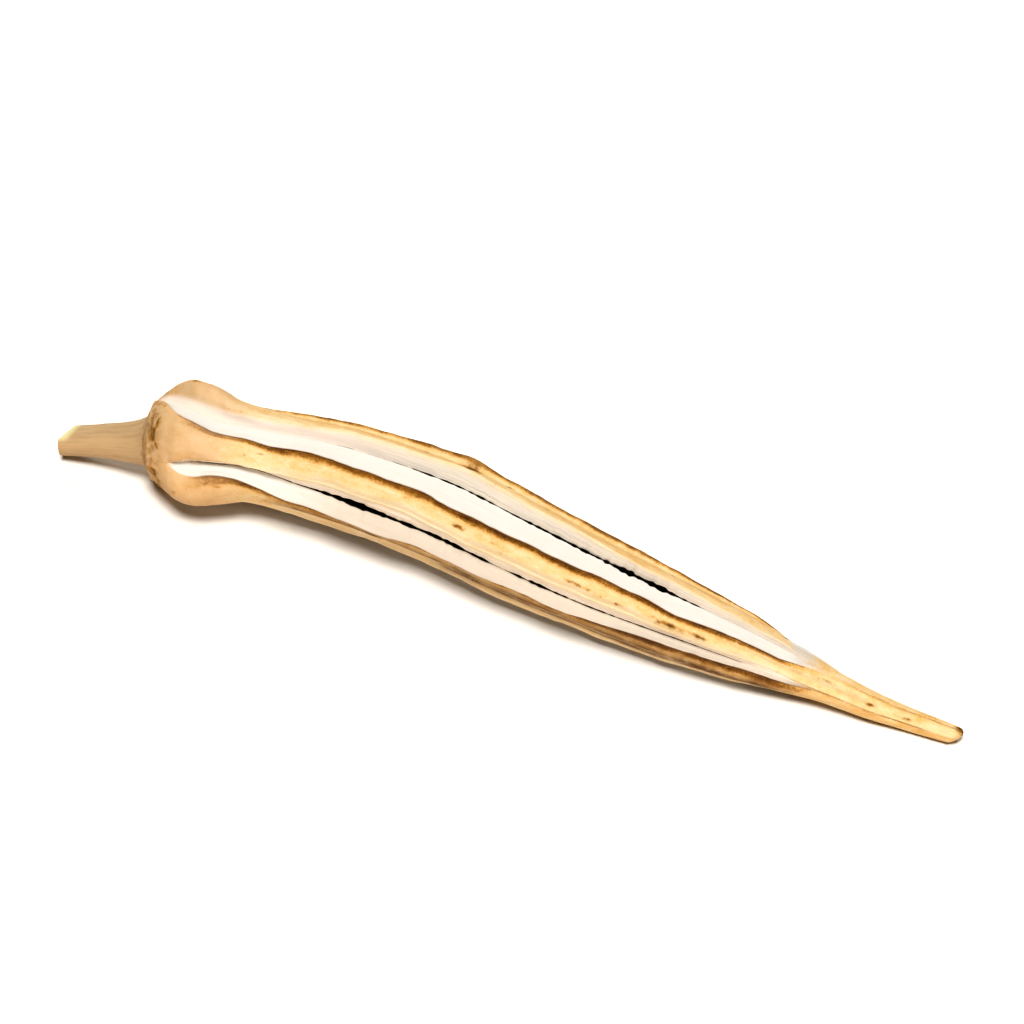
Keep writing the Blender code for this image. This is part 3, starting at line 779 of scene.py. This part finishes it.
class Nodes:
    """A short way to write a material's nodes."""

    def __init__(self, name):
        self.material = bpy.data.materials.new(name)
        self.material.use_nodes = True
        self.tree = self.material.node_tree
        self.shader = self.tree.nodes["Principled BSDF"]

    def put(self, socket, value):
        if isinstance(value, bpy.types.NodeSocket):
            self.tree.links.new(value, socket)
        else:
            socket.default_value = (*value, 1.0) if isinstance(value, tuple) and len(value) == 3 else value

    def new(self, kind, out, inputs, **settings):
        node = self.tree.nodes.new(kind)
        for key, value in settings.items():
            setattr(node, key, value)
        for key, value in inputs.items():
            self.put(node.inputs[key], value)
        return node.outputs[out]

    def attribute(self, name, out="Fac"):
        return self.new("ShaderNodeAttribute", out, {}, attribute_name=name)

    def math(self, operation, a, b):
        return self.new("ShaderNodeMath", 0, {0: a, 1: b}, operation=operation)

    def mix(self, share, a, b):
        node = self.tree.nodes.new("ShaderNodeMix")
        node.data_type = "RGBA"
        self.put(node.inputs[0], share)
        self.put(node.inputs[6], a)
        self.put(node.inputs[7], b)
        return node.outputs[2]

    def span(self, value, low, high, to_low=0.0, to_high=1.0):
        inputs = {"Value": value, "From Min": low, "From Max": high, "To Min": to_low, "To Max": to_high}
        return self.new("ShaderNodeMapRange", "Result", inputs, interpolation_type="SMOOTHSTEP")

    def weighted(self, *terms):
        """The sum of (value, weight) terms."""
        total = 0.0
        for value, weight in terms:
            total = self.math("ADD", total, self.math("MULTIPLY", value, weight))
        return total

    def noise(self, place, scale, detail, rough, distortion=0.0):
        inputs = {"Vector": place, "Scale": scale, "Detail": detail, "Roughness": rough}
        return self.new("ShaderNodeTexNoise", "Fac", {**inputs, "Distortion": distortion})

    def ramp(self, value, stops):
        """A colour that changes with value, through (value, colour) stops."""
        node = self.tree.nodes.new("ShaderNodeValToRGB")
        self.put(node.inputs[0], value)
        while len(node.color_ramp.elements) < len(stops):
            node.color_ramp.elements.new(0.5)
        for element, (place, colour) in zip(node.color_ramp.elements, stops):
            element.position = place
            element.color = (*colour, 1.0)
        return node.outputs["Color"]

    def stretched(self, vector, scale):
        inputs = {"Vector": vector, "Scale": Vector(scale)}
        return self.new("ShaderNodeMapping", "Vector", inputs, vector_type="POINT")


# Colours of the husk, in linear light.
SKIN_PALE = (0.57, 0.46, 0.31)
SKIN_TAN = (0.55, 0.41, 0.225)
SKIN_ORANGE = (0.50, 0.31, 0.11)
SKIN_BROWN = (0.24, 0.115, 0.012)
SKIN_DARK = (0.09, 0.034, 0.001)
SHOULDER_PINK = (0.42, 0.27, 0.15)
FACE_WHITE = (0.55, 0.52, 0.475)
FACE_LOW = (0.48, 0.42, 0.35)
# Painted light and a warm tint: split faces near the base are paler where they turn from the lamps.
FACE_BASE_TINT_AND_PAINTED_LIGHT = (0.61, 0.51, 0.43)
FACE_CREAM = (0.50, 0.445, 0.375)
# Painted light: the split face below valve 0's lower edge is paler, since it faces down from the lamps.
FACE_UNDER_PAINTED_LIGHT = (0.72, 0.65, 0.56)
FACE_GREY = (0.30, 0.255, 0.205)
STALK_TAN = (0.385, 0.27, 0.15)
STALK_SHADE = (0.31, 0.215, 0.12)
CUT_PALE = (0.54, 0.49, 0.27)
# Painted shadow: the hollow and the slits' inner walls are painted near-black.
INSIDE_PAINTED_SHADOW = (0.006, 0.004, 0.003)
FLOOR_DARK = (0.68, 0.645, 0.60)
FLOOR_LIGHT = (0.71, 0.675, 0.63)
WORLD_COLOUR = (1.0, 0.72, 0.5, 1.0)

# Where colours change, from none of the colour to all of it: along the pod (x), and across it by lane. Lanes
# under 0 are the lower half of valve 0, and lanes from 160 up are the upper half of valve 4.
SHOULDER_COLOUR = (-56.0, -68.0)
COLLAR_COLOUR = (-76.0, -80.0)
STALK_COLOUR = (-82.4, -83.4)
UNDER_LANES = (-1.0, -2.5)
BASE_FACES = (-20.0, -50.0)
BASE_LANES = (-2.5, -1.0)
LOW_FACES = (-55.0, -30.0)
LOW_LANES = (158.0, 160.0)
# The same for grey lines, with how much of them shows at both ends.
GREY_FACES = (-62.0, -44.0, 0.3, 1.0)

# Lights that shine at the origin: (name, place, diameter, watts, colour), in metres.
LIGHTS = [
    ("key", (0.30, -0.75, 3.0), 1.2, 110.0, (1.0, 1.0, 1.0)),
    ("fill", (0.44, -0.87, 0.06), 0.1, 4.7, (1.0, 0.84, 0.69)),
    ("back", (-0.9, 2.25, 1.8), 1.2, 38.0, (1.0, 0.95, 0.88)),
]
WORLD_STRENGTH = 0.035
FLOOR_HALF = 3.0
FLOOR_DROP = 0.00002


def skin_colour(n, x, flow, place, mottle, grit):
    """The skin: pale at a valve's lower edge, through tan and orange, to dark under its upper edge; that run
    is partly painted light and shade, partly brown stain.
    """
    shade, mark, fold_shade = n.attribute("shade"), n.attribute("mark"), n.attribute("fold_shade")
    streaks = n.noise(n.stretched(flow, (0.12, 1.3, 0.2)), 1.0, 5.0, 0.6)
    blotches = n.noise(n.stretched(place, (1.0, 2.0, 2.0)), 130.0, 5.0, 0.62, 0.5)
    uneven = n.weighted((blotches, 0.62), (mottle, 0.5), (streaks, 0.1), (grit, 0.45))
    shade = n.math("ADD", shade, n.math("SUBTRACT", uneven, 0.835))
    skin = n.ramp(
        shade,
        [(0.0, SKIN_PALE), (0.25, SKIN_TAN), (0.52, SKIN_ORANGE), (0.75, SKIN_BROWN), (0.95, SKIN_DARK)],
    )
    pinkness = n.math("MULTIPLY", n.span(x, *SHOULDER_COLOUR), n.span(shade, 0.42, 0.7, 0.65, 0.38))
    skin = n.mix(pinkness, skin, SHOULDER_PINK)
    collar = n.math("MULTIPLY", n.span(x, *COLLAR_COLOUR), n.span(mottle, 0.42, 0.62, 0.1, 0.6))
    skin = n.mix(collar, skin, SKIN_BROWN)
    stalk_skin = n.mix(n.span(streaks, 0.35, 0.75), STALK_TAN, STALK_SHADE)
    skin = n.mix(n.span(x, *STALK_COLOUR), skin, stalk_skin)

    # Fine specks, then the marks with their broken edges, and the painted shade along the folds' creases.
    specks = n.span(n.noise(place, 1100.0, 2.0, 0.5), 0.63, 0.72, 0.0, 0.6)
    specks = n.math("MULTIPLY", specks, n.span(blotches, 0.5, 0.68))
    broken = n.noise(place, 1300.0, 4.0, 0.7)
    spots = n.math("ADD", mark, n.math("MULTIPLY", n.math("SUBTRACT", broken, 0.5), 1.6))
    spots = n.math("MULTIPLY", n.span(spots, 0.1, 0.95), n.span(mark, 0.02, 0.35))
    skin = n.mix(specks, skin, SKIN_BROWN)
    skin = n.mix(n.math("MULTIPLY", n.span(mark, 0.05, 0.5), 0.4), skin, SKIN_ORANGE)
    skin = n.mix(spots, skin, n.mix(n.span(mark, 0.5, 1.0), SKIN_BROWN, SKIN_DARK))
    return n.mix(n.math("MULTIPLY", fold_shade, n.span(mottle, 0.2, 0.55, 0.6, 1.0)), skin, SKIN_DARK)


def face_colour(n, x, flow, fine_lines):
    """The split faces: white above a valve's upper edge, cream with grey fibre lines below its lower edge."""
    lane, above = n.new("ShaderNodeSeparateXYZ", "Y", {"Vector": flow}), n.attribute("above")
    lines = n.noise(n.stretched(flow, (0.05, 5.0, 0.2)), 1.0, 4.0, 0.65)
    near_base = n.math("MULTIPLY", n.span(x, *BASE_FACES), n.span(lane, *BASE_LANES))
    lowest = n.math("MULTIPLY", n.span(lane, *LOW_LANES), n.span(x, *LOW_FACES))
    # The face below valve 0's lower edge is painted lighter, as painted light where it faces down.
    face = n.mix(n.span(lane, *UNDER_LANES), FACE_CREAM, FACE_UNDER_PAINTED_LIGHT)
    # Near the base the faces are painted paler, as painted light, and warmer in their own tint.
    face = n.mix(near_base, face, FACE_BASE_TINT_AND_PAINTED_LIGHT)
    face = n.mix(above, face, FACE_WHITE)
    face = n.mix(n.math("MULTIPLY", lowest, above), face, FACE_LOW)
    whiteness = n.math("MAXIMUM", above, near_base)
    greyness = n.math("MULTIPLY", n.span(whiteness, 0.0, 1.0, 0.8, 0.12), n.span(x, *GREY_FACES))
    face = n.mix(n.math("MULTIPLY", n.span(lines, 0.5, 0.66), greyness), face, FACE_GREY)
    fine = n.math("MULTIPLY", n.span(fine_lines, 0.52, 0.68), n.math("MULTIPLY", greyness, 0.7))
    return n.mix(fine, face, FACE_GREY)


def husk_material():
    n = Nodes("okra_husk")
    flow = n.attribute("flow", "Vector")
    x = n.new("ShaderNodeSeparateXYZ", "X", {"Vector": flow})
    place = n.new("ShaderNodeTexCoord", "Object", {})
    split = n.attribute("split")
    mottle = n.noise(n.stretched(place, (1.0, 1.6, 1.6)), 420.0, 4.0, 0.6, 0.3)
    grit = n.noise(place, 2400.0, 3.0, 0.6)
    fine_lines = n.noise(n.stretched(flow, (0.14, 13.0, 0.2)), 1.0, 3.0, 0.6)
    skin = skin_colour(n, x, flow, place, mottle, grit)
    colour = n.mix(split, skin, face_colour(n, x, flow, fine_lines))
    colour = n.mix(n.attribute("cut"), colour, CUT_PALE)
    # The hollow and the slit walls just inside the lips get the near-black painted shadow.
    colour = n.mix(n.attribute("inner"), colour, INSIDE_PAINTED_SHADOW)
    n.put(n.shader.inputs["Base Color"], colour)
    n.put(n.shader.inputs["Roughness"], n.span(mottle, 0.2, 0.8, 0.5, 0.72))
    n.put(n.shader.inputs["Specular IOR Level"], 0.3)
    fibres = n.math("MULTIPLY", fine_lines, split)
    height = n.weighted((fibres, 1.0), (grit, 0.5), (mottle, 0.8))
    bump = n.new("ShaderNodeBump", "Normal", {"Strength": 0.5, "Distance": 0.00015, "Height": height})
    n.put(n.shader.inputs["Normal"], bump)
    return n.material


def floor_material():
    n = Nodes("pale_surface")
    place = n.new("ShaderNodeTexCoord", "Object", {})
    n.put(n.shader.inputs["Base Color"], n.mix(n.noise(place, 300.0, 3.0, 0.5), FLOOR_DARK, FLOOR_LIGHT))
    n.put(n.shader.inputs["Roughness"], 0.9)
    n.put(n.shader.inputs["Specular IOR Level"], 0.1)
    return n.material


def add_floor():
    mesh = bpy.data.meshes.new("floor")
    corners = [(x, y, 0) for x, y in ((-1, -1), (1, -1), (1, 1), (-1, 1))]
    mesh.from_pydata([Vector(corner) * FLOOR_HALF for corner in corners], [], [(0, 1, 2, 3)])
    floor = bpy.data.objects.new("floor", mesh)
    floor.location.z = -FLOOR_DROP
    mesh.materials.append(floor_material())
    bpy.context.scene.collection.objects.link(floor)


def add_light(name, place, size, power, colour):
    light = bpy.data.lights.new(name, "AREA")
    light.shape = "DISK"
    light.size = size
    light.energy = power
    light.color = colour
    lamp = bpy.data.objects.new(name, light)
    lamp.location = place
    lamp.rotation_euler = (-Vector(place)).to_track_quat("-Z", "Y").to_euler()
    bpy.context.scene.collection.objects.link(lamp)


def light_scene():
    world = bpy.data.worlds.new("studio")
    world.use_nodes = True
    background = world.node_tree.nodes["Background"]
    background.inputs["Color"].default_value = WORLD_COLOUR
    background.inputs["Strength"].default_value = WORLD_STRENGTH
    bpy.context.scene.world = world
    for facts in LIGHTS:
        add_light(*facts)
    bpy.context.scene.view_settings.view_transform = "Standard"
    bpy.context.scene.view_settings.look = "High Contrast"
    bpy.context.scene.view_settings.exposure = 0.0


def add_camera(shift):
    up, turn = np.radians(VIEW_UP), np.radians(VIEW_ROUND)
    back = Vector((np.cos(up) * np.sin(turn), -np.cos(up) * np.cos(turn), np.sin(up)))
    target = Vector(np.array(VIEW_TARGET) + shift) * MM
    camera = bpy.data.objects.new("camera", bpy.data.cameras.new("camera"))
    camera.data.sensor_width = SENSOR
    camera.data.lens = SENSOR * PIXELS_PER_MM * VIEW_DISTANCE / PICTURE
    camera.location = target + back * VIEW_DISTANCE * MM
    camera.rotation_euler = (-back).to_track_quat("-Z", "Y").to_euler()
    bpy.context.scene.collection.objects.link(camera)
    bpy.context.scene.camera = camera


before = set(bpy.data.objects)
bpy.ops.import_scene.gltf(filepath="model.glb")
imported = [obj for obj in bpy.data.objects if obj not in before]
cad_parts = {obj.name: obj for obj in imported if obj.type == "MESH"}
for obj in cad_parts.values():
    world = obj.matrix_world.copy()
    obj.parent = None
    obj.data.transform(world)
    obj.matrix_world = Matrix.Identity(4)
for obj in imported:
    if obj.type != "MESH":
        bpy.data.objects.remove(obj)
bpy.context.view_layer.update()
mesh, shift = build_pod()
pod = bpy.data.objects.new("okra_pod_husk", mesh)
mesh.materials.append(husk_material())
bpy.context.scene.collection.objects.link(pod)
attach(pod, "root")
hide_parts(NODE)
add_floor()
light_scene()
add_camera(shift)
